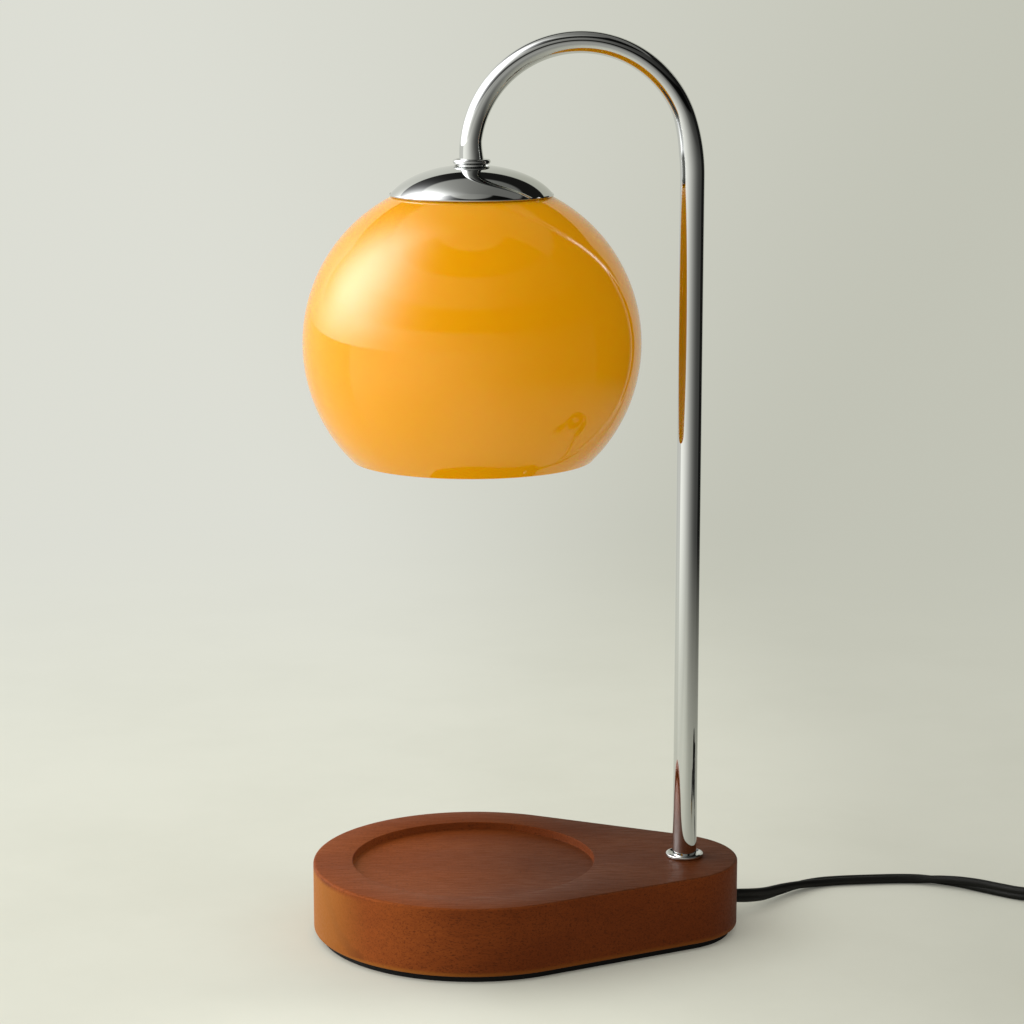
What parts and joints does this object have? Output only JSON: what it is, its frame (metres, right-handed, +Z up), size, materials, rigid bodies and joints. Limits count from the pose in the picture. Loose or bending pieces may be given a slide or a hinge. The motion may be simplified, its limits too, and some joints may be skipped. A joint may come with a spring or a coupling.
{
  "type": "candle warmer lamp",
  "caption": "Candle warmer table lamp: a globe glass shade with a reflector bulb hangs from a chromed gooseneck over a teardrop wooden base, with an in-line dimmer and plug on its cord.",
  "frame": {"origin": "underside of the base pad, on the common vertical axis of the candle recess, the shade and the bulb", "axes": "+Z up, +X from the candle's axis towards the post, +Y away from the viewer of the front"},
  "size_m": [0.3819, 0.1434, 0.3285],
  "materials": {
    "stained_wood": "fine-grained wood, walnut stain, satin lacquer",
    "foam_pad": "black closed-cell foam",
    "chrome": "mirror chrome plate",
    "plain_steel": "zinc-plated steel",
    "amber_glass": "opal amber glass, glossy",
    "clear_glass": "pressed clear glass",
    "quartz": "clear quartz",
    "mirror_bowl": "mirrored pressed glass bowl",
    "ceramic": "glazed white ceramic",
    "silicone": "translucent silicone",
    "nylon": "natural nylon",
    "black_cord": "satin black vinyl",
    "black_plastic": "fine-textured black plastic",
    "white_wire": "white heat-proof sleeve",
    "brass_contact": "bright brass",
    "circuit_board": "green lacquered board"
  },
  "bodies": {
    "lamp": {"base_block": "stained_wood", "base_pad": "foam_pad", "base_washer": "plain_steel", "base_lock_washer": "plain_steel", "base_nut": "plain_steel", "foot_stud": "plain_steel", "foot_flange": "chrome", "post_tube": "chrome", "cord_clamp": "nylon", "clamp_screws": "plain_steel", "cord_inner": "black_cord", "crimp_caps": "nylon", "lamp_wires": "white_wire", "neck_fitting": "chrome", "neck_washer": "chrome", "shade_cap": "chrome", "cap_gasket": "silicone", "neck_spacer": "plain_steel", "shade_gallery": "plain_steel", "shade_ring": "nylon", "ring_gasket": "silicone", "neck_lock_washer": "plain_steel", "neck_nut": "plain_steel", "socket_bracket": "plain_steel", "lamp_socket": "ceramic", "socket_screws": "plain_steel", "socket_contacts": "brass_contact", "glass_shade": "amber_glass", "cord_lead": "black_cord", "dimmer_bottom": "black_plastic", "dimmer_top": "black_plastic", "dimmer_pot": "plain_steel", "dimmer_board": "circuit_board", "dimmer_terminals": "nylon", "dimmer_screws": "plain_steel", "cord_link": "black_cord", "cord_coil": "black_cord", "coil_tie": "black_cord", "cord_tail": "black_cord", "plug_body": "black_plastic", "plug_blades": "brass_contact"},
    "bulb": {"bulb_base": "ceramic", "bulb_pins": "plain_steel", "bulb_reflector": "mirror_bowl", "bulb_lens": "clear_glass", "bulb_capsule": "quartz"},
    "thumb_wheel": {"dimmer_wheel": "black_plastic"}
  },
  "joints": [
    {"name": "bulb_twist", "type": "hinge", "parent": "lamp", "child": "bulb", "pos_m": [0, 0, 0.24], "axis": [0, 0, -1], "range_deg": [0, 30]},
    {"name": "wheel_turn", "type": "hinge", "parent": "lamp", "child": "thumb_wheel", "pos_m": [0.259, 0.0245, 0.0093], "axis": [0, 0, 1], "range_deg": [-135, 135]}
  ]
}
